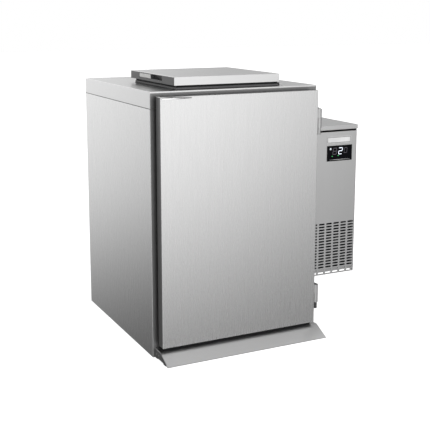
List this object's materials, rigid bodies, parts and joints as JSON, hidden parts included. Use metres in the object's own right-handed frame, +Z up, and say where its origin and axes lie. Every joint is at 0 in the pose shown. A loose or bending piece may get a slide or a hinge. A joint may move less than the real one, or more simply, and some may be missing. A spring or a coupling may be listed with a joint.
{
  "type": "refrigerated waste bin cabinet",
  "caption": "Stainless refrigerated cabinet for a wheeled waste bin, with a front door, a lidded top chute, a threshold ramp and a side-mounted cooling unit.",
  "frame": {"origin": "on the floor, at the centre of the insulated cabinet's base (the ramp and the cooling unit stick out beyond it)", "axes": "+Z up, front with the door towards -Y, cooling unit towards +X"},
  "size_m": [1.13, 1.046, 1.285],
  "materials": {
    "brushed_skin": "vertical brushed",
    "unit_steel": "satin brushed",
    "ramp_steel": "brushed lengthwise",
    "bright_steel": "polished",
    "foam": "cut foam",
    "seal_rubber": "matt",
    "dark_plastic": "fine grain",
    "white_plastic": "satin",
    "screen_glass": "glossy with lit digits",
    "copper": "drawn tube",
    "fin_aluminium": "plain",
    "shell_paint": "semi-gloss black",
    "fastener_steel": "zinc plated"
  },
  "bodies": {
    "cabinet": {"left_wall": "brushed_skin", "right_wall": "brushed_skin", "rear_wall": "brushed_skin", "ceiling_panel": "brushed_skin", "floor_panel": "ramp_steel", "panel_cores": "foam", "door_frame_liner": "white_plastic", "bin_guide_rails": "ramp_steel", "threshold_ramp": "ramp_steel", "ramp_cheeks": "ramp_steel", "ramp_pads": "seal_rubber", "chute_sleeve": "brushed_skin", "collar_frame": "dark_plastic", "collar_gasket": "seal_rubber", "lid_hinge_base": "unit_steel", "hinge_brackets": "unit_steel", "hinge_pins": "fastener_steel", "hinge_bushes": "dark_plastic", "hinge_screws": "fastener_steel", "unit_wall_plate": "unit_steel", "unit_base_tray": "unit_steel", "unit_front_panel": "unit_steel", "unit_side_panel": "unit_steel", "unit_rear_panel": "unit_steel", "unit_top_cover": "unit_steel", "unit_screws": "fastener_steel", "badge_plate": "bright_steel", "controller_body": "dark_plastic", "controller_screen": "screen_glass", "controller_trim": "bright_steel", "compressor": "shell_paint", "compressor_feet": "seal_rubber", "condenser_coil": "fin_aluminium", "fan_shroud": "unit_steel", "fan_motors": "shell_paint", "filter_drier": "copper", "refrigerant_pipes": "copper", "electrical_box": "white_plastic", "cable_gland": "dark_plastic", "evaporator_housing": "white_plastic", "evaporator_coil": "fin_aluminium", "wall_port_plug": "foam", "condensate_tray": "dark_plastic"},
    "door": {"door_skin": "brushed_skin", "door_core": "foam", "door_liner": "brushed_skin", "door_gasket": "seal_rubber", "door_sweep": "seal_rubber", "door_pull": "bright_steel", "hinge_knuckles": "unit_steel", "hinge_caps": "dark_plastic"},
    "lid": {"lid_shell": "brushed_skin", "lid_core": "foam", "lid_pan": "brushed_skin", "lid_grip_tray": "dark_plastic", "flap_pin": "fastener_steel", "lid_hinge_leaf": "unit_steel"},
    "flap": {"grip_flap": "white_plastic"},
    "condenser_rotor": {"condenser_fan": "fin_aluminium"},
    "evaporator_rotor": {"evaporator_fan": "dark_plastic"}
  },
  "joints": [
    {"name": "door_hinge", "type": "hinge", "parent": "cabinet", "child": "door", "pos_m": [0.4125, -0.506, 0.6], "axis": [0, 0, 1], "range_deg": [0, 115]},
    {"name": "lid_hinge", "type": "hinge", "parent": "cabinet", "child": "lid", "pos_m": [0.243, -0.177, 1.236], "axis": [0, 1, 0], "range_deg": [0, 100]},
    {"name": "flap_pivot", "type": "hinge", "parent": "lid", "child": "flap", "pos_m": [-0.304, -0.09, 1.2766], "axis": [0, -1, 0], "range_deg": [0, 40], "stiffness_Nm_per_rad": 0.05, "springref_deg": -17.19},
    {"name": "condenser_fan_spin", "type": "hinge", "parent": "cabinet", "child": "condenser_rotor", "pos_m": [0.564, -0.34, 0.404], "axis": [0, 1, 0], "continuous": true},
    {"name": "evaporator_fan_spin", "type": "hinge", "parent": "cabinet", "child": "evaporator_rotor", "pos_m": [0.28, -0.21, 0.784], "axis": [1, 0, 0], "continuous": true}
  ]
}
